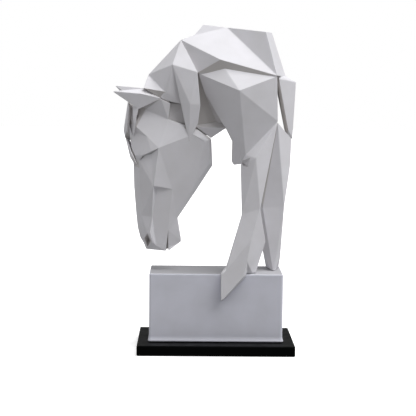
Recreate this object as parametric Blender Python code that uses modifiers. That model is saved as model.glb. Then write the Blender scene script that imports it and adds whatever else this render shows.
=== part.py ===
# Geometric horse on a plinth
# A horse with its head bowed, cast in flat facets: head, neck, shoulders and two forelegs.
# It stands on a rectangular plinth, and the plinth stands on a thin dark base plate.
#
# World axes: Z is up, X runs along the plinth, and the horse faces -X. The origin is the
# middle of the base plate's underside.
# The horse is drawn in its own axes, in millimetres: (forward, out, up). Forward runs to its
# nose, out to its left side, and up from the top of the plinth. Out is 0 in its middle plane.

import bpy
import bmesh
from math import pi
from mathutils import Vector
from mathutils.geometry import delaunay_2d_cdt

MM = 0.001

# Base plate
PLATE_LENGTH = 84 * MM
PLATE_DEPTH = 50 * MM
PLATE_HEIGHT = 5.5 * MM
PLATE_EDGE = 0.6 * MM

# Plinth
PLINTH_LENGTH = 71.5 * MM
PLINTH_DEPTH = 30 * MM
PLINTH_HEIGHT = 36.7 * MM
PLINTH_EDGE = 0.8 * MM
PLINTH_LIP_HEIGHT = 1.4 * MM
PLINTH_LIP_PROUD = 0.5 * MM

# Horse
FIGURE_HEIGHT = 132.6 * MM
HEEL_SETBACK = 2.75 * MM
HOOF_THICKNESS = 4.6 * MM
FAR_EAR_LIFT = 3.0 * MM

# Fits
GAP = 0.3 * MM
MERGE = 0.01 * MM

# Fine folds in the head, in the horse's drawn millimetres
EYE_FOLD_WIDTH = 0.9
EYE_FOLD_DEPTH = 2.2
MOUTH_WIDTH = 1.1
MOUTH_DEPTH = 2.6
FORELOCK_GAP = 1.7
FORELOCK_GAP_DEPTH = 3.4
LOW_SHARD_GAP = 0.9
LOW_SHARD_GAP_DEPTH = 2.0
ELBOW_POCKET_WIDTH = 2.6
ELBOW_POCKET_DEPTH = 2.2
SLIT_MARGIN = 3.0

# In the side view, the way from a fold's sloping wall to its upright wall: forward and down
FOLD_LEANS = Vector((0.45, -0.9))

# The height above the plinth that the horse's corners are drawn at
DRAWN_HEIGHT = 132.6 * MM

PLINTH_BOTTOM = PLATE_HEIGHT + GAP
PLINTH_TOP = PLINTH_BOTTOM + PLINTH_HEIGHT
HORSE_X = PLINTH_LENGTH / 2 - HEEL_SETBACK
FIGURE_SCALE = FIGURE_HEIGHT / DRAWN_HEIGHT
HOOF_FACE = (PLINTH_DEPTH / 2 + HOOF_THICKNESS) / MM / FIGURE_SCALE

# Corners where two or more masses of the horse meet
NAPE = (70.1, 0.7, 105.3)
CREST = (52.9, 3.5, 123.8)
MANE_ROOT = (57.2, 12.3, 110.6)
NECK_FOLD = (60.0, 10.8, 96.2)
COLLAR = (43.8, 6.7, 106.6)
CREST_END = (46.0, -0.7, 126.4)
WITHERS_PEAK = (28.2, -9.5, 131.2)
BACK_CORNER = (2.1, 13.0, 105.4)
SHOULDER_TOP = (29.6, 9.5, 108.8)
BLADE = (22.1, 18.7, 97.4)
FLANK_CORNER = (1.3, 12.3, 81.4)
ELBOW = (18.2, 11.8, 63.4)
NEAR_KNEE_FRONT = (20.0, 16.6, 32.2)
NEAR_KNEE_SIDE = (10.3, 18.0, 35.4)
FAR_KNEE_FRONT = (8.1, 2.2, 34.3)
FAR_KNEE_REAR = (-3.6, 2.3, 35.2)


def to_metres(corner):
    """A drawn corner in millimetres, at the figure's real size."""
    return Vector(corner) * MM * FIGURE_SCALE


def far_side(corners):
    """The same corners on the horse's other side."""
    return [(forward, -out, up) for forward, out, up in corners]


def both_sides(corners):
    return corners + far_side(corners)


def on_facet(facet, forward, up):
    """The corner at this place in the side view that lies flat on a facet of three corners."""
    a, b, c = (Vector(corner) for corner in facet)
    normal = (b - a).cross(c - a)
    out = a.y - (normal.x * (forward - a.x) + normal.z * (up - a.z)) / normal.y
    return (forward, out, up)


def add_object(name, mesh_data, collection):
    mesh = bpy.data.meshes.new(name)
    mesh_data.to_mesh(mesh)
    mesh_data.free()
    shape = bpy.data.objects.new(name, mesh)
    collection.objects.link(shape)
    return shape


def add_hull(name, corners, collection):
    """A mass with flat facets: the tightest skin round its corners."""
    skin = bmesh.new()
    for corner in corners:
        skin.verts.new(to_metres(corner))
    result = bmesh.ops.convex_hull(skin, input=skin.verts)
    loose = {item for item in result["geom_interior"] + result["geom_unused"]
             if isinstance(item, bmesh.types.BMVert)}
    bmesh.ops.delete(skin, geom=list(loose), context="VERTS")
    bmesh.ops.recalc_face_normals(skin, faces=skin.faces)
    return add_object(name, skin, collection)


def add_relief(name, outline, inner, creases, collection):
    """A mass drawn from the side: facets between its outline, inner corners and creases.

    The half on the near side is open at the middle plane, and Mirror makes the other half.
    """
    corners = {**outline, **inner}
    names = list(corners)
    number = {corner: index for index, corner in enumerate(names)}
    rim = list(outline)
    edges = [(number[a], number[b]) for a, b in zip(rim, rim[1:] + rim[:1])]
    edges += [(number[a], number[b]) for a, b in creases]
    flat = [Vector((corners[n][0], corners[n][2])) for n in names]
    inside_only = 1
    _, _, triangles, _, _, _ = delaunay_2d_cdt(flat, edges, [], inside_only, 0.001)

    half = bmesh.new()
    verts = [half.verts.new(to_metres(corners[n])) for n in names]
    for triangle in triangles:
        half.faces.new([verts[index] for index in triangle])
    wall = bmesh.ops.extrude_edge_only(half, edges=[e for e in half.edges if e.is_boundary])
    for item in wall["geom"]:
        if isinstance(item, bmesh.types.BMVert):
            item.co.y = 0
    bmesh.ops.recalc_face_normals(half, faces=half.faces)
    shape = add_object(name, half, collection)
    mirror = shape.modifiers.new("other side", "MIRROR")
    mirror.use_axis = (False, True, False)
    mirror.use_mirror_merge = True
    mirror.merge_threshold = MERGE
    return shape


def add_slit(name, start, middle, end, width, depth, collection):
    """A wedge that cuts a fold on both sides, widest in the middle and closed at its ends.

    Its forward or lower wall is upright, and the other wall slopes down to that one's foot.
    """
    along = Vector((end[0] - start[0], end[2] - start[2])).normalized()
    across = Vector((-along.y, along.x))
    if across.dot(FOLD_LEANS) < 0:
        across.negate()
    low = across * width / 2
    high = low - across * width * (depth + SLIT_MARGIN) / depth
    wedge = [start, end]
    wedge += [(forward, out + SLIT_MARGIN, up) for forward, out, up in (start, end)]
    forward, out, up = middle
    wedge += [
        (forward + low.x, out + SLIT_MARGIN, up + low.y),
        (forward + high.x, out + SLIT_MARGIN, up + high.y),
        (forward + low.x, out - depth, up + low.y),
    ]
    add_hull("near " + name, wedge, collection)
    add_hull("far " + name, far_side(wedge), collection)


def make_slits(collection):
    """The folds under the eyelids, the mouth, the gaps in the forelock, the elbow pockets."""
    add_slit("eye fold", (64.4, 12.2, 66.4), (68.4, 11.4, 63.9), (73.0, 9.6, 62.3),
             EYE_FOLD_WIDTH, EYE_FOLD_DEPTH, collection)
    add_slit("eye corner", (71.6, 10.6, 63.2), (72.4, 9.6, 62.0), (73.9, 7.8, 60.0),
             EYE_FOLD_WIDTH, EYE_FOLD_DEPTH, collection)
    add_slit("mouth line", (58.8, 6.3, 23.8), (59.4, 4.9, 12.4), (59.8, 4.0, 3.0),
             MOUTH_WIDTH, MOUTH_DEPTH, collection)
    add_slit("front shard gap", (78.8, 6.6, 86.4), (79.2, 5.8, 78.8), (78.3, 6.2, 73.2),
             FORELOCK_GAP, FORELOCK_GAP_DEPTH, collection)
    add_slit("side shard gap", (74.4, 7.6, 86.6), (75.3, 7.6, 82.8), (76.3, 8.0, 79.4),
             FORELOCK_GAP, FORELOCK_GAP_DEPTH, collection)
    add_slit("low shard gap", (81.0, 5.8, 72.0), (78.4, 7.2, 64.8), (75.3, 7.8, 57.4),
             LOW_SHARD_GAP, LOW_SHARD_GAP_DEPTH, collection)
    add_slit("elbow pocket", (20.4, 10.8, 60.2), (18.6, 11.6, 58.8), (17.0, 12.4, 57.2),
             ELBOW_POCKET_WIDTH, ELBOW_POCKET_DEPTH, collection)


def make_skull(masses):
    """The long head, with temple, brow, eyelid, cheekbone, muzzle and nostril."""
    cheek = ((64.2, 12.5, 66.8), (39.6, 8.1, 69.8), (56.8, 8.1, 44.5))
    brow = ((71.4, 6.4, 86.8), (59.3, 9.0, 81.8), cheek[0])
    muzzle = ((65.8, 9.0, 45.2), (67.6, 7.5, 29.5), (58.5, 6.7, 30.1))
    outline = {
        "poll": (72.0, 5.0, 94.5),
        "forehead": (79.3, 3.0, 87.0),
        "brow": (80.2, 5.2, 76.0),
        "stop": (78.2, 7.2, 62.0),
        "bridge top": (77.6, 7.2, 57.0),
        "bridge middle": (77.3, 6.5, 45.5),
        "bridge low": (76.2, 5.4, 31.5),
        "nose end": (75.4, 4.9, 23.6),
        "nose tip": (74.0, 4.5, 18.2),
        "upper lip": (72.1, 4.2, 14.9),
        "lip corner": (70.8, 4.4, 11.7),
        "lip rear": on_facet(muzzle, 60.3, 10.8),
        "mouth": on_facet(muzzle, 59.4, 12.0),
        "chin": (58.5, 6.2, 11.2),
        "chin rear": (52.0, 4.5, 16.0),
        "chin groove": (54.2, 5.3, 28.5),
        "jaw line": (43.6, 4.4, 44.5),
        "jaw corner": (35.4, 2.6, 57.2),
        "jaw rear": (36.2, 4.0, 71.1),
        "jaw top": (43.2, 6.6, 76.1),
        "cheek rear": (50.4, 8.6, 79.0),
        "cheek top": brow[1],
        "throat latch": (58.2, 10.0, 90.2),
        "temple rear": (63.1, 11.0, 92.6),
    }
    inner = {
        "temple": brow[0],
        "brow front": on_facet(brow, 76.1, 77.5),
        "brow ridge": on_facet(brow, 70.4, 72.7),
        "cheekbone": cheek[0],
        "eyelid front": (72.5, 10.3, 62.8),
        "eyelid": (68.2, 11.9, 64.4),
        "eye front": (72.4, 8.8, 61.8),
        "eye": (68.2, 9.9, 63.3),
        "eye rear": (65.0, 11.7, 65.6),
        "tear": (75.0, 8.0, 60.0),
        "face top": (74.5, 8.0, 56.7),
        "face low": (73.4, 6.2, 30.1),
        "face end": (71.7, 5.5, 18.7),
        "facial crest": (66.8, 11.6, 46.4),
        "muzzle top": muzzle[0],
        "muzzle rear": cheek[2],
        "muzzle side": muzzle[1],
        "nostril wing": (68.6, 9.0, 20.6),
        "muzzle end": on_facet(muzzle, 65.5, 13.8),
        "lip fold": muzzle[2],
        "mouth corner": on_facet(muzzle, 58.9, 22.4),
        "cheek edge": (50.6, 9.8, 77.3),
        "jaw edge": on_facet(cheek, 45.8, 73.9),
        "jaw edge top": (37.5, 7.2, 70.9),
        "jaw edge low": (36.9, 4.6, 58.4),
        "jaw plane top": cheek[1],
        "jaw plane low": on_facet(cheek, 45.3, 45.6),
        "nostril top": (70.2, 6.6, 20.6),
        "nostril front": (71.8, 5.4, 17.6),
        "nostril low": (70.0, 5.2, 12.9),
        "nostril rear": (67.8, 7.6, 16.4),
        "nostril": (69.5, 1.0, 16.4),
    }
    creases = [
        ("temple", "temple rear"), ("temple", "cheek top"), ("temple rear", "cheek top"),
        ("temple", "brow front"), ("brow front", "brow ridge"), ("brow ridge", "cheekbone"),
        ("cheekbone", "cheek top"), ("cheekbone", "temple"), ("brow ridge", "temple"),
        ("cheekbone", "eyelid"), ("eyelid", "eyelid front"),
        ("eyelid front", "brow ridge"), ("eyelid front", "tear"), ("eye front", "tear"),
        ("eye front", "eye"), ("eye", "eye rear"), ("eye rear", "cheekbone"),
        ("cheekbone", "jaw plane top"), ("jaw plane top", "jaw edge top"),
        ("cheekbone", "muzzle rear"), ("cheekbone", "facial crest"),
        ("eye rear", "facial crest"), ("tear", "face top"), ("face top", "face low"),
        ("face low", "face end"), ("face end", "nose tip"), ("tear", "facial crest"),
        ("facial crest", "muzzle top"), ("muzzle top", "muzzle rear"),
        ("facial crest", "muzzle side"), ("muzzle top", "muzzle side"),
        ("muzzle side", "nostril wing"), ("muzzle side", "muzzle end"),
        ("nostril wing", "nostril rear"), ("nostril rear", "muzzle end"),
        ("muzzle rear", "jaw plane low"),
        ("muzzle rear", "chin groove"), ("muzzle rear", "lip fold"),
        ("lip fold", "chin groove"), ("lip fold", "mouth corner"),
        ("mouth corner", "mouth"), ("lip fold", "muzzle end"),
        ("jaw plane top", "jaw plane low"), ("jaw plane low", "jaw line"),
        ("jaw edge top", "jaw edge low"), ("jaw edge low", "jaw plane low"),
        ("cheek top", "cheek edge"), ("cheek edge", "jaw edge"), ("jaw edge", "jaw edge top"),
        ("nostril top", "nostril"), ("nostril front", "nostril"),
        ("nostril low", "nostril"), ("nostril rear", "nostril"),
        ("nostril top", "nostril front"), ("nostril front", "nostril low"),
        ("nostril low", "nostril rear"), ("nostril rear", "nostril top"),
    ]
    add_relief("skull", outline, inner, creases, masses)


def make_ears(masses):
    """Two ears laid forward, with the tip of the far one carried a little higher."""
    tip_forward, tip_out, tip_up = 89.0, 9.6, 96.4
    ear = [
        (74.2, 10.6, 95.3), (63.1, 10.2, 92.9), (72.8, 5.4, 98.1), (75.0, 9.2, 87.1),
        (80.7, 8.4, 91.2), (78.0, 4.0, 92.0), (64.0, 4.5, 93.5), (72.0, 3.5, 88.0),
    ]
    lift = FAR_EAR_LIFT / MM / FIGURE_SCALE
    add_hull("near ear", ear + [(tip_forward, tip_out, tip_up)], masses)
    add_hull("far ear", far_side(ear) + [(tip_forward, -tip_out, tip_up + lift)], masses)


def make_forelock(masses):
    """Three flat shards of hair that hang from the poll over the forehead."""
    add_hull("front shard", both_sides([
        (80.9, 4.6, 91.0), (83.2, 3.4, 75.5), (82.5, 3.0, 71.6), (80.0, 6.6, 88.0),
        (81.5, 6.8, 80.0), (81.4, 6.2, 75.0), (77.4, 1.5, 88.0), (78.3, 1.4, 69.6),
    ]), masses)
    side_shard = [
        (78.3, 8.0, 89.0), (75.0, 9.4, 88.0), (76.2, 9.6, 80.0), (77.9, 8.8, 79.6),
        (77.7, 7.6, 71.8), (76.0, 4.0, 87.0), (77.0, 4.0, 77.0), (78.2, 3.5, 86.0),
    ]
    low_shard = [
        (82.3, 4.0, 72.2), (81.6, 6.4, 70.8), (78.9, 8.6, 63.6), (75.6, 9.2, 57.2),
        (77.9, 5.0, 58.6), (79.8, 2.6, 61.3), (77.2, 3.0, 59.6), (80.2, 0.5, 70.6),
    ]
    for name, shard in (("side shard", side_shard), ("low shard", low_shard)):
        add_hull("near " + name, shard, masses)
        add_hull("far " + name, far_side(shard), masses)


def make_neck(masses):
    """The arched neck, poll fold, narrow throat and its root, cheek hollow and gullet."""
    add_hull("neck", both_sides([
        NAPE, CREST, MANE_ROOT, NECK_FOLD, (62.8, 9.8, 92.8), (57.6, 9.2, 90.9),
        (52.0, 8.6, 89.9), COLLAR,
    ]), masses)
    add_hull("poll fold", both_sides([
        NAPE, NECK_FOLD, (72.4, 8.8, 98.2), (63.7, 8.2, 93.2), (58.8, 9.0, 90.4),
    ]), masses)
    add_hull("throat", both_sides([
        (70.0, 4.0, 99.0), (62.0, 4.0, 82.0), (48.0, 2.6, 117.0), (28.0, 1.0, 112.0),
        (44.0, 2.0, 77.0), (30.0, 1.6, 79.0), (36.4, 1.8, 72.4), (29.4, 1.6, 78.0),
    ]), masses)
    add_hull("neck root", both_sides([
        (40.0, 2.3, 96.0), (31.0, 3.6, 80.4), (42.0, 2.3, 102.0), (36.5, 1.0, 88.0),
        (33.8, 1.0, 78.2), (42.8, 1.0, 98.0), (28.0, 3.4, 82.0), (34.0, 2.0, 98.0),
    ]), masses)
    add_hull("cheek hollow", both_sides([
        (59.6, 6.6, 90.6), (50.0, 5.6, 89.6), (60.2, 7.4, 81.2), (49.6, 6.2, 79.2),
        (46.4, 4.8, 86.0),
    ]), masses)
    add_hull("gullet", both_sides([
        (44.4, 4.4, 77.6), (36.4, 3.6, 71.8), (28.4, 5.4, 77.4), (30.2, 1.6, 81.2),
        (43.6, 1.6, 79.4), (36.8, 1.2, 76.6),
    ]), masses)


def make_mane_lock(masses):
    """The pointed lock of the mane that hangs in front of the neck on each side."""
    lock = [
        CREST, MANE_ROOT, (44.0, 12.0, 106.8), (52.0, 11.5, 90.0), (47.8, 12.6, 90.1),
        (42.3, 11.6, 89.6), (43.4, 10.3, 80.0), (48.2, 10.0, 70.2), (54.0, 6.0, 108.0),
        (46.0, 2.0, 106.0), (50.6, 6.0, 90.0), (44.2, 5.0, 90.0), (47.8, 8.0, 72.0),
    ]
    add_hull("near lock", lock, masses)
    add_hull("far lock", far_side(lock), masses)


def make_withers(masses):
    """The broad top facets over the shoulders, and the block that closes the back."""
    rise = (32.0, 10.3, 113.5)
    add_hull("withers", [
        CREST, CREST_END, WITHERS_PEAK, BACK_CORNER, rise, COLLAR, SHOULDER_TOP,
    ] + far_side([CREST, rise, COLLAR, SHOULDER_TOP, BACK_CORNER])
      + both_sides([(40.0, 1.5, 102.0), (29.0, 6.0, 100.0), (9.0, 6.0, 98.0)]), masses)
    add_hull("far withers", [
        CREST_END, (41.0, -5.0, 132.5), WITHERS_PEAK, (44.0, -9.0, 119.0),
        (24.0, -13.0, 120.0), (42.0, -4.0, 118.0), (27.0, -6.0, 119.0), (38.0, -12.0, 124.0),
    ], masses)
    add_hull("back", [
        WITHERS_PEAK, BACK_CORNER, (7.6, 2.5, 128.6), (3.4, -14.0, 128.7),
        (-4.6, -13.5, 104.8), (26.0, -13.0, 122.0), (22.0, -10.0, 106.0), (29.5, -11.2, 111.6),
    ], masses)


def make_shoulders(masses):
    """The chest and both shoulder blades, each a low pyramid of facets."""
    front = ((43.4, 5.8, 106.2), BLADE, (20.7, 9.8, 60.8))
    outline = {
        "collar": front[0],
        "shoulder top": SHOULDER_TOP,
        "back corner": (2.0, 12.4, 105.0),
        "flank corner": FLANK_CORNER,
        "elbow": ELBOW,
        "elbow front": on_facet(front, 20.5, 58.4),
        "breast low": on_facet(front, 24.1, 57.7),
        "breast": on_facet(front, 24.9, 58.9),
        "breast bend": on_facet(front, 24.6, 69.5),
        "breast top": on_facet(front, 28.7, 77.6),
        "chest": on_facet(front, 30.7, 80.1),
        "neck base": on_facet(front, 40.0, 96.0),
    }
    inner = {
        "blade": BLADE,
        "blade low": front[2],
    }
    creases = [
        ("collar", "blade"), ("shoulder top", "blade"), ("back corner", "blade"),
        ("flank corner", "blade"), ("blade", "blade low"), ("blade low", "elbow"),
    ]
    add_relief("shoulders", outline, inner, creases, masses)


def make_near_leg(masses):
    """The near foreleg strides forward, and its hoof hangs over the plinth's front face."""
    add_hull("near forearm", [
        FLANK_CORNER, ELBOW, (12.9, 17.5, 62.2), (20.7, 11.6, 57.4), NEAR_KNEE_FRONT,
        NEAR_KNEE_SIDE, (6.0, 4.0, 84.0), (18.0, 2.0, 60.0), (18.4, 3.0, 33.0),
        (11.0, 5.0, 36.0), (14.0, 5.0, 76.0), (19.0, 4.0, 66.0),
    ], masses)
    pastern = [(27.8, 17.2, 4.8), (28.0, HOOF_FACE, 2.6), (17.0, HOOF_FACE, 7.3)]
    add_hull("near shin", pastern + [
        NEAR_KNEE_FRONT, NEAR_KNEE_SIDE, (6.7, 9.8, 17.0), (10.9, 10.0, 5.7),
        (15.0, HOOF_FACE, 19.0), (18.4, 3.0, 33.0), (11.0, 5.0, 36.0), (24.0, 7.0, -2.0),
        (12.0, 6.0, -2.0), (27.0, 13.0, -2.0), (12.5, 11.0, -2.0),
    ], masses)
    inside = 0.7 * HOOF_FACE
    add_hull("near hoof", pastern + [
        (30.7, HOOF_FACE, 0.8), (30.5, HOOF_FACE, -13.6), (29.2, HOOF_FACE, -12.6),
        (18.6, HOOF_FACE, -0.4), (30.6, inside, 0.4), (30.2, inside, -14.6),
        (28.2, inside, -13.8), (16.8, inside, -1.6), (15.6, inside, 3.0),
    ], masses)


def make_far_leg(masses):
    """The far foreleg stands upright at the plinth's end."""
    add_hull("far forearm", [
        (0.8, 5.2, 80.4), (-7.4, -3.2, 71.4), (-6.8, -2.0, 57.0), (-0.8, 3.2, 60.4),
        FAR_KNEE_FRONT, FAR_KNEE_REAR, (16.0, 2.0, 64.0), (2.0, -12.0, 80.0),
        (-6.0, -14.0, 71.0), (15.0, -12.0, 64.0), (9.0, -8.0, 34.5), (-3.4, -10.5, 35.0),
    ], masses)
    add_hull("far shin", [
        FAR_KNEE_FRONT, FAR_KNEE_REAR, (9.0, -8.0, 34.5), (-3.4, -10.5, 35.0),
        (7.5, -3.0, 10.6), (-1.9, 1.7, 7.5), (1.7, 2.8, -2.0), (-1.9, -13.0, -2.0),
        (4.6, -12.5, -2.0),
    ], masses)


def make_back_strut(masses):
    """The far flank's free edge, from the back down to the far leg, with a slot before it."""
    add_hull("back strut", [
        (0.4, 2.6, 103.8), (-9.4, -4.4, 102.0), (-8.0, -4.2, 71.8), (-5.1, 0.0, 76.8),
        (-1.3, 0.5, 96.7), (1.5, -12.0, 106.0), (0.0, -12.0, 95.4), (-4.2, -10.5, 76.4),
        (-6.0, -12.0, 70.0), (-4.0, -13.0, 105.5), (-4.5, -3.0, 71.0), (2.0, 2.0, 106.0),
    ], masses)


def make_box(name, size, centre, collection):
    box = bmesh.new()
    bmesh.ops.create_cube(box, size=1)
    bmesh.ops.scale(box, vec=size, verts=box.verts)
    bmesh.ops.translate(box, vec=centre, verts=box.verts)
    return add_object(name, box, collection)


def round_edges(shape, width, segments):
    bevel = shape.modifiers.new("rounded edges", "BEVEL")
    bevel.width = width
    bevel.segments = segments
    bevel.limit_method = "ANGLE"


def join_or_cut(shape, name, operation, tool):
    boolean = shape.modifiers.new(name, "BOOLEAN")
    boolean.operation = operation
    boolean.solver = "EXACT"
    boolean.object = tool


def make_horse(parts, masses):
    """All masses fused into one casting, cut clear of the plinth that it stands on."""
    for make_mass in (make_skull, make_ears, make_forelock, make_neck, make_mane_lock,
                      make_withers, make_shoulders, make_near_leg, make_far_leg,
                      make_back_strut):
        make_mass(masses)
    core = masses.objects["throat"]
    horse = bpy.data.objects.new("horse", core.data.copy())
    parts.objects.link(horse)
    solid_masses = list(masses.objects)
    for mass in solid_masses:
        if mass != core:
            join_or_cut(horse, mass.name, "UNION", mass)
    make_slits(masses)
    for slit in masses.objects:
        if slit not in solid_masses:
            join_or_cut(horse, slit.name, "DIFFERENCE", slit)
    place = Vector((HORSE_X, 0, PLINTH_TOP))
    for shape in [horse, *masses.objects]:
        shape.location = place
        shape.rotation_euler.z = pi
    clearance = make_box(
        "plinth clearance",
        (PLINTH_LENGTH + 2 * GAP, PLINTH_DEPTH + 2 * GAP, PLINTH_HEIGHT + GAP),
        (0, 0, PLINTH_TOP + GAP - (PLINTH_HEIGHT + GAP) / 2), masses)
    join_or_cut(horse, "clear of the plinth", "DIFFERENCE", clearance)
    return horse


def make_plinth(parts, masses):
    """A plain block with softly rounded edges and a thin lip round its foot."""
    plinth = make_box("plinth", (PLINTH_LENGTH, PLINTH_DEPTH, PLINTH_HEIGHT),
                      (0, 0, PLINTH_BOTTOM + PLINTH_HEIGHT / 2), parts)
    round_edges(plinth, PLINTH_EDGE, 3)
    lip = make_box("plinth lip",
                   (PLINTH_LENGTH + 2 * PLINTH_LIP_PROUD, PLINTH_DEPTH + 2 * PLINTH_LIP_PROUD,
                    PLINTH_LIP_HEIGHT),
                   (0, 0, PLINTH_BOTTOM + PLINTH_LIP_HEIGHT / 2), masses)
    join_or_cut(plinth, "lip", "UNION", lip)
    return plinth


def make_base_plate(parts):
    plate = make_box("base_plate", (PLATE_LENGTH, PLATE_DEPTH, PLATE_HEIGHT),
                     (0, 0, PLATE_HEIGHT / 2), parts)
    round_edges(plate, PLATE_EDGE, 2)
    return plate


def add_material(shape, name, colour, roughness):
    material = bpy.data.materials.new(name)
    material.use_nodes = True
    shader = material.node_tree.nodes["Principled BSDF"]
    shader.inputs["Base Color"].default_value = (*colour, 1)
    shader.inputs["Roughness"].default_value = roughness
    shader.inputs["Metallic"].default_value = 0
    shape.data.materials.clear()
    shape.data.materials.append(material)


def main():
    for shape in list(bpy.data.objects):
        bpy.data.objects.remove(shape, do_unlink=True)
    parts = bpy.data.collections.new("geometric_horse")
    masses = bpy.data.collections.new("masses and cutters")
    for collection in (parts, masses):
        bpy.context.scene.collection.children.link(collection)

    horse = make_horse(parts, masses)
    plinth = make_plinth(parts, masses)
    base_plate = make_base_plate(parts)
    for guide in masses.objects:
        guide.hide_render = True
        guide.display_type = "WIRE"

    add_material(horse, "white resin", (0.78, 0.78, 0.79), 0.6)
    add_material(plinth, "white plinth resin", (0.76, 0.76, 0.78), 0.6)
    add_material(base_plate, "black satin", (0.012, 0.014, 0.014), 0.35)


main()
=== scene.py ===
# %% [markdown]
# # A faceted horse in white resin
#
# The object is a desk sculpture of a horse with its head bowed. It is cast in flat facets, stands
# on a plain plinth, and the plinth stands on a thin black plate. The shapes come from a CAD frame.
# This lesson gives them soft edges, the finish of cast resin, a studio and a camera. Lengths are
# in metres, and MM turns millimetres into metres.

# %% Load the frame
from math import cos, pi, radians, sin, sqrt

import bmesh
import bpy
import numpy as np
from mathutils import Matrix, Vector
from mathutils.bvhtree import BVHTree


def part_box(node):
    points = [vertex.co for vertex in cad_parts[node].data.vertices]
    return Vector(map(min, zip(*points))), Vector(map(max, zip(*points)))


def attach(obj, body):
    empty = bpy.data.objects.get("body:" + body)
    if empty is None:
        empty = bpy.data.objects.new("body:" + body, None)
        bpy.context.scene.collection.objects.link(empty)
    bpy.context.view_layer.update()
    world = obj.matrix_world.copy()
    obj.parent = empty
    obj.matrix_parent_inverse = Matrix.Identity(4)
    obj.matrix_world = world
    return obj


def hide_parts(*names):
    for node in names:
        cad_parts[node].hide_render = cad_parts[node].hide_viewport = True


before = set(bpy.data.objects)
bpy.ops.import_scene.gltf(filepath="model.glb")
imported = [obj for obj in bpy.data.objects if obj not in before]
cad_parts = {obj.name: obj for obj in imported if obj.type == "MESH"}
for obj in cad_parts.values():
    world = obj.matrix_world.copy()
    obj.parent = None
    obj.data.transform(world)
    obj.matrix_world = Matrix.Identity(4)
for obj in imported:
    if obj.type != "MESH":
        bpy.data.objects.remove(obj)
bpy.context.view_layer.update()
scene = bpy.context.scene
MM = 0.001
print("nodes:", sorted(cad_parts))

# %% [markdown]
# ## The camera
#
# The photograph looks at the horse's left side, a little from above, with a long lens. A real
# camera leans a degree or so to its side, and that lean is kept, because it tilts the plinth's
# edges. The focal length is given in image widths, so it holds for any width of the sensor.

# %% Place the camera
CAMERA_PLACE = Vector((-0.01504, -0.64662, 0.14473))
TURN, PITCH, LEAN = radians(0.928), radians(6.043), radians(0.587)
SENSOR_WIDTH = 36.0
FOCUS_IN_IMAGE_WIDTHS = 1200 / 416
NEAREST_SEEN = 10 * MM

forward = Vector((sin(TURN) * cos(PITCH), cos(TURN) * cos(PITCH), -sin(PITCH)))
level = Vector((cos(TURN), -sin(TURN), 0))
upright = level.cross(forward)
right = level * cos(LEAN) + upright * sin(LEAN)
up = upright * cos(LEAN) - level * sin(LEAN)
axes = Matrix((right, up, -forward)).transposed()

camera_data = bpy.data.cameras.new("studio camera")
camera_data.sensor_width = SENSOR_WIDTH
camera_data.lens = SENSOR_WIDTH * FOCUS_IN_IMAGE_WIDTHS
camera_data.clip_start = NEAREST_SEEN
camera = bpy.data.objects.new("studio camera", camera_data)
camera.matrix_world = Matrix.Translation(CAMERA_PLACE) @ axes.to_4x4()
scene.collection.objects.link(camera)
scene.camera = camera
print("lens:", round(camera_data.lens, 1), "mm")

# %% [markdown]
# ## Colours and nodes
#
# Colours are written as sRGB hex values, as a paint shop would give them, and the shaders work in
# linear light, so one function turns one into the other. Two more functions add a node with its
# settings and links, and start a material, which keeps each material short enough to read.

# %% Helpers for materials
WHITE = (1, 1, 1, 1)


def linear(hex_colour):
    """sRGB to linear: c / 12.92 below 0.04045, and ((c + 0.055) / 1.055) to the 2.4 above."""
    srgb = np.array([int(hex_colour[i:i + 2], 16) for i in (1, 3, 5)]) / 255
    light = np.where(srgb <= 0.04045, srgb / 12.92, ((srgb + 0.055) / 1.055) ** 2.4)
    return (*map(float, light), 1.0)


def add_node(tree, kind, settings=None, values=None, links=None):
    """A node of this kind, with its settings, its unlinked inputs and its linked inputs."""
    node = tree.nodes.new(kind)
    for name, setting in (settings or {}).items():
        setattr(node, name, setting)
    for name, value in (values or {}).items():
        node.inputs[name].default_value = value
    for name, output in (links or {}).items():
        tree.links.new(output, node.inputs[name])
    return node


def start_material(name, sockets):
    """A new material, its node tree, and its main shader with these sockets set."""
    material = bpy.data.materials.new(name)
    material.use_nodes = True
    shader = material.node_tree.nodes["Principled BSDF"]
    for socket, value in sockets.items():
        shader.inputs[socket].default_value = value
    return material, material.node_tree, shader


print("a mid grey:", [round(c, 3) for c in linear("#808080")[:3]])

# %% [markdown]
# ## Light, air and floor
#
# The photograph has one large soft light, high up on the right and a little in front, a broad
# weaker one on the left behind the horse, and an even light from everywhere. Facets that face up
# and right are almost white, and those that face down stay grey. A sun lamp with a wide angle has
# soft-edged shadows, and the world gives the even part. To the camera the world is plain white,
# as the backdrop is.

# %% Light the studio
EVEN_LIGHT = 0.32
BACKDROP_LIGHT = 1.0

scene.view_settings.view_transform = "Standard"


def soft_light(name, shines_along, strength, width):
    """A sun lamp whose disc is so wide that it acts as a softbox a long way off."""
    lamp = bpy.data.lights.new(name, "SUN")
    lamp.energy = strength
    lamp.angle = width
    light = bpy.data.objects.new(name, lamp)
    light.rotation_euler = Vector(shines_along).to_track_quat("-Z", "Y").to_euler()
    scene.collection.objects.link(light)


soft_light("large soft light", shines_along=(-0.44, 0.18, -0.87), strength=3.0,
           width=radians(48))
soft_light("broad fill light", shines_along=(0.9, -0.2, -0.4), strength=0.55,
           width=radians(100))

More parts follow.
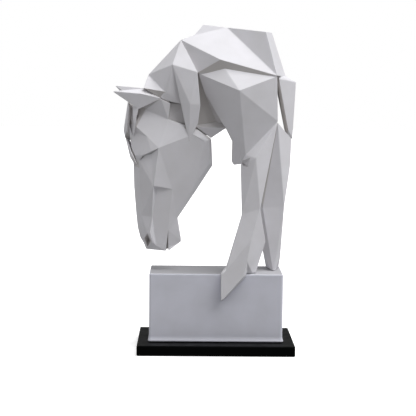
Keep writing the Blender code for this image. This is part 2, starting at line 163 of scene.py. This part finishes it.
world = bpy.data.worlds.new("studio air")
scene.world = world
world.use_nodes = True
air = world.node_tree
air.nodes.clear()
even, backdrop = [add_node(air, "ShaderNodeBackground",
                           values={"Color": WHITE, "Strength": strength}).outputs[0]
                  for strength in (EVEN_LIGHT, BACKDROP_LIGHT)]
seen_by_camera = add_node(air, "ShaderNodeLightPath").outputs["Is Camera Ray"]
mixed = add_node(air, "ShaderNodeMixShader", links={0: seen_by_camera, 1: even, 2: backdrop})
add_node(air, "ShaderNodeOutputWorld", links={"Surface": mixed.outputs[0]})
print("even light:", EVEN_LIGHT)

# %% [markdown]
# The floor is a sheet of white studio paper. It glows a little, so that the shadow on it stays as
# faint as on lit paper. It throws no light back on the horse, because in the photograph the
# facets that face down get none. It lies a hair below the plate, so that the two never share a
# plane.

# %% Lay the floor
PAPER_REACH = 3.0
PAPER_GLOW = 0.55
BELOW_PLATE = 0.1 * MM

floor_mesh = bpy.data.meshes.new("studio paper")
floor_corners = [(x * PAPER_REACH, y * PAPER_REACH, 0)
                 for x, y in ((-1, -1), (1, -1), (1, 1), (-1, 1))]
floor_mesh.from_pydata(floor_corners, [], [(0, 1, 2, 3)])
floor = bpy.data.objects.new("studio_paper", floor_mesh)
floor.location.z = -BELOW_PLATE
floor.visible_diffuse = False
floor.visible_glossy = False
floor.visible_shadow = False
scene.collection.objects.link(floor)

paper, *_ = start_material("white studio paper", {
    "Base Color": linear("#f6f6f6"), "Roughness": 0.9, "Specular IOR Level": 0.1,
    "Emission Color": WHITE, "Emission Strength": PAPER_GLOW})
floor_mesh.materials.append(paper)
print("floor is", 2 * PAPER_REACH, "m wide")

# %% [markdown]
# ## White cast resin
#
# The horse and its plinth are polyresin, a filled plastic that is poured into a rubber mould and
# then sprayed matt white. What that gives the eye is a surface without a mirror's gloss, with a
# very fine grain from the spray, and with faint cloudy patches where the coat is thicker. A warm
# grey is painted in as shade, in the horse's recesses and on the plinth's top. All patterns read
# Object coordinates, so they stay where they are on the piece, and their scales come from real
# sizes in millimetres.

# %% Helpers for patterns
def noise(tree, place, size_in_mm, detail, roughness=0.5):
    """Noise with patches of this size. It has one for each unit of scale: scale = 1 / size."""
    values = {"Scale": 1 / (size_in_mm * MM), "Detail": detail, "Roughness": roughness}
    return add_node(tree, "ShaderNodeTexNoise", values=values, links={"Vector": place}).outputs[0]


def remap(tree, value, found, wanted):
    """The value carried from one (low, high) span to another, and held within it."""
    spans = {"From Min": found[0], "From Max": found[1], "To Min": wanted[0], "To Max": wanted[1]}
    return add_node(tree, "ShaderNodeMapRange", values=spans, links={"Value": value}).outputs[0]


def relief(tree, height, strength, depth, over=None):
    """A shallow relief that only the shading sees, laid over a coarser one if that is given."""
    links = {"Height": height} | ({"Normal": over} if over else {})
    return add_node(tree, "ShaderNodeBump", values={"Strength": strength, "Distance": depth},
                    links=links).outputs[0]


def dress(tree, shader, colour, roughness, normal):
    """Link the patterns to the main shader."""
    for socket, output in (("Base Color", colour), ("Roughness", roughness), ("Normal", normal)):
        tree.links.new(output, shader.inputs[socket])


print("patterns:", [helper.__name__ for helper in (noise, remap, relief, dress)])

# %% [markdown]
# The coat's two near whites meet in patches of 14 mm. Its waves are 6 mm long and its grain is
# 0.9 mm fine, and each is a shallow relief too. Where the clouds are thick the coat is a little
# rougher.

# %% Mix the resin
CLOUD_IN_MM, WAVE_IN_MM, GRAIN_IN_MM = 14, 6, 0.9
WAVE_DEPTH, GRAIN_DEPTH = 0.12 * MM, 0.03 * MM
ROUGHNESS_SWING = 0.06


def cast_resin(name, light_hex, shade_hex, painted_shade_hex, roughness):
    """Sprayed resin: near whites in cloudy patches, a spray grain, and painted shade in grey."""
    material, tree, shader = start_material(
        name, {"IOR": 1.5, "Metallic": 0, "Specular IOR Level": 0.3})
    place = add_node(tree, "ShaderNodeTexCoord").outputs["Object"]
    clouds = noise(tree, place, CLOUD_IN_MM, detail=3.0)
    waves = noise(tree, place, WAVE_IN_MM, detail=1.0)
    grain = noise(tree, place, GRAIN_IN_MM, detail=2.0, roughness=0.6)

    patches = remap(tree, clouds, (0.35, 0.68), (0, 1))
    specks = remap(tree, grain, (0.62, 0.78), (0, 0.35))
    shade = add_node(tree, "ShaderNodeMath", settings={"operation": "MAXIMUM"},
                     links={0: patches, 1: specks})
    coat = add_node(tree, "ShaderNodeMix", settings={"data_type": "RGBA"},
                    values={"A": linear(light_hex), "B": linear(shade_hex)},
                    links={"Factor": shade.outputs[0]})

    # Painted shade: the mesh's shade attribute mixes a grey into the coat where shade falls, in
    # recesses or on a level top.
    painted_shade = add_node(tree, "ShaderNodeAttribute", settings={"attribute_name": "painted_shade"})
    shaded = remap(tree, painted_shade.outputs["Fac"], (0.25, 0.75), (0, 0.6))
    tint = add_node(tree, "ShaderNodeMix", settings={"data_type": "RGBA"},
                    values={"B": linear(painted_shade_hex)},
                    links={"A": coat.outputs["Result"], "Factor": shaded})

    gloss = remap(tree, clouds, (0, 1), (roughness - ROUGHNESS_SWING, roughness + ROUGHNESS_SWING))
    uneven = relief(tree, waves, strength=0.5, depth=WAVE_DEPTH)
    spray = relief(tree, grain, strength=0.35, depth=GRAIN_DEPTH, over=uneven)
    dress(tree, shader, tint.outputs["Result"], gloss, spray)
    return material


horse_resin = cast_resin("sprayed white polyresin", light_hex="#e4e3e8", shade_hex="#dedde1",
                         painted_shade_hex="#b9b4ae", roughness=0.62)
plinth_resin = cast_resin("sprayed white polyresin of the plinth", light_hex="#dcdde8",
                          shade_hex="#d5d6e0", painted_shade_hex="#8e8c88", roughness=0.6)
print("materials:", horse_resin.name, "and", plinth_resin.name)

# %% [markdown]
# ## The horse
#
# The facets are already in the frame, as sharp as a knife. On a real casting the mould's edges are
# worn and the spray fills them, so each edge is a narrow round that catches the light as a thin
# line. The frame's mesh is loose triangles, so a copy of it is merged, and triangles that lie in
# one plane become one facet again. Then every real edge gets a round of about a third of a
# millimetre with the Bevel modifier. Beside a narrow facet the round is narrower, because two
# wide ones would cross there, and edges too short for any round are left out.

# %% Merge the facets and give each edge its weight
EDGE_ROUND = 0.32 * MM
SHORTEST_ROUNDED = 1.1 * MM
ROOM_FOR_ROUND = 4.0
SHARP = radians(3)
SAME_PLACE = 0.01 * MM
SAME_PLANE = radians(0.4)


def room_beside(edge):
    """The least distance from the edge's line to the next corners of its two facets."""
    start, end = (vert.co for vert in edge.verts)
    line = (end - start).normalized()
    corners = [vert.co for loop in edge.link_loops
               for vert in (loop.link_loop_prev.vert, loop.link_loop_next.link_loop_next.vert)]
    return min((corner - start - line * line.dot(corner - start)).length for corner in corners)


def merged_copy(node, name):
    """The node's triangles as one closed skin of flat facets, with a weight on each real edge."""
    skin = bmesh.new()
    skin.from_mesh(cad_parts[node].data)
    bmesh.ops.remove_doubles(skin, verts=skin.verts, dist=SAME_PLACE)
    bmesh.ops.dissolve_limit(skin, angle_limit=SAME_PLANE, verts=skin.verts, edges=skin.edges)
    weight = skin.edges.layers.float.new("bevel_weight_edge")
    rounded = [edge for edge in skin.edges
               if edge.calc_length() > SHORTEST_ROUNDED and edge.calc_face_angle(0) > SHARP]
    for edge in rounded:
        edge[weight] = min(1.0, room_beside(edge) / (ROOM_FOR_ROUND * EDGE_ROUND))
    for facet in skin.faces:
        facet.smooth = False
    print(name, "has", len(skin.faces), "facets and", len(rounded), "rounded edges of",
          len(skin.edges))
    mesh = bpy.data.meshes.new(name)
    skin.to_mesh(mesh)
    skin.free()
    return mesh


horse_mesh = merged_copy("horse", "faceted_horse")

# %% [markdown]
# Shade falls where facets face each other closely, and grey is painted in there as shade. To find
# such places, each facet's middle sends out a fan of short rays, and the share of them that meets
# the horse again is stored on the facet. The resin reads it as its amount of painted shade.

# %% Find the recesses
RECESS_REACH = 16 * MM
RECESSED = 0.3
OFF_THE_FACET = 0.05 * MM


def recess_of_facets(mesh, reach, rays=96):
    """The share of rays from each facet's middle that meet the horse again within the reach.

    The rays crowd round the normal as a matt surface weighs light: sine = sqrt(k / rays), and
    each is turned on by the golden angle.
    """
    skin = bmesh.new()
    skin.from_mesh(mesh)
    skin.faces.ensure_lookup_table()
    tree = BVHTree.FromBMesh(skin)
    count = np.arange(rays) + 0.5
    sine, turn = np.sqrt(count / rays), count * pi * (3 - sqrt(5))
    fan = np.stack([sine * np.cos(turn), sine * np.sin(turn), np.sqrt(1 - sine ** 2)], axis=-1)
    share = []
    for facet in skin.faces:
        start = facet.calc_center_median() + facet.normal * OFF_THE_FACET
        aim = facet.normal.to_track_quat("Z", "Y").to_matrix()
        hits = [tree.ray_cast(start, aim @ Vector(ray), reach)[0] is not None for ray in fan]
        share.append(sum(hits) / rays)
    skin.free()
    return np.array(share, dtype=np.float32)


# Painted shade: the share of rays stored on each facet is how much grey shade the resin paints
# there.
recess_share = recess_of_facets(horse_mesh, RECESS_REACH)
horse_mesh.attributes.new("painted_shade", "FLOAT", "FACE").data.foreach_set("value", recess_share)
print("facets in a recess:", int((recess_share > RECESSED).sum()))

# %% Round the horse's edges
horse = bpy.data.objects.new("faceted_horse", horse_mesh)
scene.collection.objects.link(horse)
rounds = horse.modifiers.new("worn edges", "BEVEL")
rounds.limit_method = "WEIGHT"
rounds.width = EDGE_ROUND
rounds.segments = 2
rounds.use_clamp_overlap = False
horse_mesh.materials.append(horse_resin)
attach(horse, "root")
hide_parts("horse")
print("rounds are", EDGE_ROUND / MM, "mm wide at most")

# %% [markdown]
# ## The plinth and the plate
#
# Both are plain blocks with soft edges, cast or cut with square sides. Each is a rounded rectangle
# that is carried up a profile: the profile says how far the outline is drawn in at each height.
# So the plinth's flared foot, its quarter-round top edge and its flat faces come from one short
# list, and the surface is worked out as whole arrays. The level top, between the hooves, lies in
# the horse's shade, and that shade is painted on it in grey.

# %% Carry a rounded rectangle up a profile
LEAST_BEND = 0.05 * MM


def rounded_rectangle(length, depth, radius, inset, steps):
    """Each corner is a quarter circle: centre + radius * (cos, sin), drawn in by the inset."""
    inset = np.asarray(inset)[:, None]
    quarter = np.linspace(0, pi / 2, steps)
    angle = (quarter + np.arange(4)[:, None] * pi / 2).ravel()
    side_x = np.repeat([1, -1, -1, 1], steps)
    side_y = np.repeat([1, 1, -1, -1], steps)
    bend = np.maximum(radius - inset, LEAST_BEND)
    x = side_x * (length / 2 - inset - bend) + bend * np.cos(angle)
    y = side_y * (depth / 2 - inset - bend) + bend * np.sin(angle)
    return x, y


def block(name, low, high, radius, profile, steps=7):
    """A ring of the outline at each (inset, height) of the profile, closed by two flat caps."""
    inset, height = np.array(profile).T
    x, y = rounded_rectangle(high[0] - low[0], high[1] - low[1], radius, inset, steps)
    z = np.repeat(height[:, None], x.shape[1], axis=1)
    rings, around = x.shape
    verts = np.stack([x, y, z], axis=-1).reshape(-1, 3)
    ring, step = np.meshgrid(np.arange(rings - 1) * around, np.arange(around), indexing="ij")
    ahead = (step + 1) % around
    sides = np.stack([ring + step, ring + ahead, ring + around + ahead, ring + around + step],
                     axis=-1).reshape(-1, 4)
    caps = [tuple(range(around))[::-1], tuple(range((rings - 1) * around, rings * around))]
    mesh = bpy.data.meshes.new(name)
    mesh.from_pydata(verts.tolist(), [], sides.tolist() + caps)
    print(name, "has", len(mesh.polygons), "faces")
    shape = bpy.data.objects.new(name, mesh)
    scene.collection.objects.link(shape)
    return shape


def quarter_round(inset, height, radius, steps=5):
    """The top edge's profile: points on a quarter circle from the side up to the top face."""
    angle = np.linspace(0, pi / 2, steps)
    drawn_in = inset + radius * (1 - np.cos(angle))
    return list(zip(drawn_in, height - radius + radius * np.sin(angle)))


print("a quarter round in three points:", np.round(quarter_round(0, 1, 1, steps=3), 2).tolist())

# %% Make the plinth
PLINTH_CORNER = 1.7 * MM
FOOT_EDGE = 0.35 * MM
FOOT_EDGE_MIDDLE = (0.1 * MM, 0.12 * MM)
LIP_PROUD = 0.5 * MM
LIP_FLAT = 0.7 * MM
LIP_FLARE = 2.3 * MM
FLARE_STEPS = 6
TOP_EDGE = 0.7 * MM

plinth_low, plinth_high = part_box("plinth")
foot, top = plinth_low[2], plinth_high[2]
climb = np.linspace(0, 1, FLARE_STEPS)
flare = zip(LIP_PROUD * (1 - (1 - climb) ** 2), foot + LIP_FLAT + LIP_FLARE * climb)
plinth_profile = [(FOOT_EDGE, foot), (FOOT_EDGE_MIDDLE[0], foot + FOOT_EDGE_MIDDLE[1]),
                  (0, foot + FOOT_EDGE)]
plinth_profile += list(flare) + quarter_round(LIP_PROUD, top, TOP_EDGE)
plinth = block("white_plinth", plinth_low, plinth_high, PLINTH_CORNER, plinth_profile)
plinth.data.materials.append(plinth_resin)
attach(plinth, "root")
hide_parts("plinth")

# %% Paint shade on the plinth's top
TOP_PAINTED_SHADE = 0.75

# Painted shade: faces that look up are greyed, as the horse above shades the plinth's top.
normals = np.empty(3 * len(plinth.data.polygons), dtype=np.float32)
plinth.data.polygons.foreach_get("normal", normals)
faces_up = np.clip(normals[2::3], 0, 1) ** 3
painted_top_shade = plinth.data.attributes.new("painted_shade", "FLOAT", "FACE")
painted_top_shade.data.foreach_set("value", (TOP_PAINTED_SHADE * faces_up).astype(np.float32))
print("dusty faces of the plinth:", int((faces_up > 0.5).sum()))

# %% [markdown]
# The plate is taken as fibreboard or resin under satin black lacquer. The photograph shows it
# almost without reflections, so its gloss is set low. Only faint waves from the brush and specks
# of grey dust, which a black surface can't hide, break its even black.

# %% Lacquer the plate
DUST_IN_MM, BRUSH_IN_MM = 0.8, 5
BRUSH_DEPTH = 0.04 * MM


def black_lacquer(name):
    """Satin lacquer: near black, with brushed-out waves and a fine dusting on it."""
    material, tree, shader = start_material(name, {"IOR": 1.45, "Specular IOR Level": 0.05})
    place = add_node(tree, "ShaderNodeTexCoord").outputs["Object"]
    specks = remap(tree, noise(tree, place, DUST_IN_MM, detail=3.0), (0.64, 0.8), (0, 0.5))
    colour = add_node(tree, "ShaderNodeMix", settings={"data_type": "RGBA"},
                      values={"A": linear("#040505"), "B": linear("#141516")},
                      links={"Factor": specks})
    waves = noise(tree, place, BRUSH_IN_MM, detail=2.0)
    gloss = remap(tree, waves, (0, 1), (0.32, 0.5))
    ripple = relief(tree, waves, strength=0.4, depth=BRUSH_DEPTH)
    dress(tree, shader, colour.outputs["Result"], gloss, ripple)
    return material


lacquer = black_lacquer("satin black lacquer")
print("material:", lacquer.name)

# %% Make the plate
PLATE_CORNER = 0.8 * MM
PLATE_EDGE = 0.6 * MM
PLATE_EDGE_MIDDLE = (0.15 * MM, 0.2 * MM)

plate_low, plate_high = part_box("base_plate")
under = plate_low[2]
plate_profile = [(PLATE_EDGE, under), (PLATE_EDGE_MIDDLE[0], under + PLATE_EDGE_MIDDLE[1]),
                 (0, under + PLATE_EDGE)]
plate_profile += quarter_round(0, plate_high[2], PLATE_EDGE)
plate = block("black_plate", plate_low, plate_high, PLATE_CORNER, plate_profile)
plate.data.materials.append(lacquer)
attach(plate, "root")
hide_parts("base_plate")
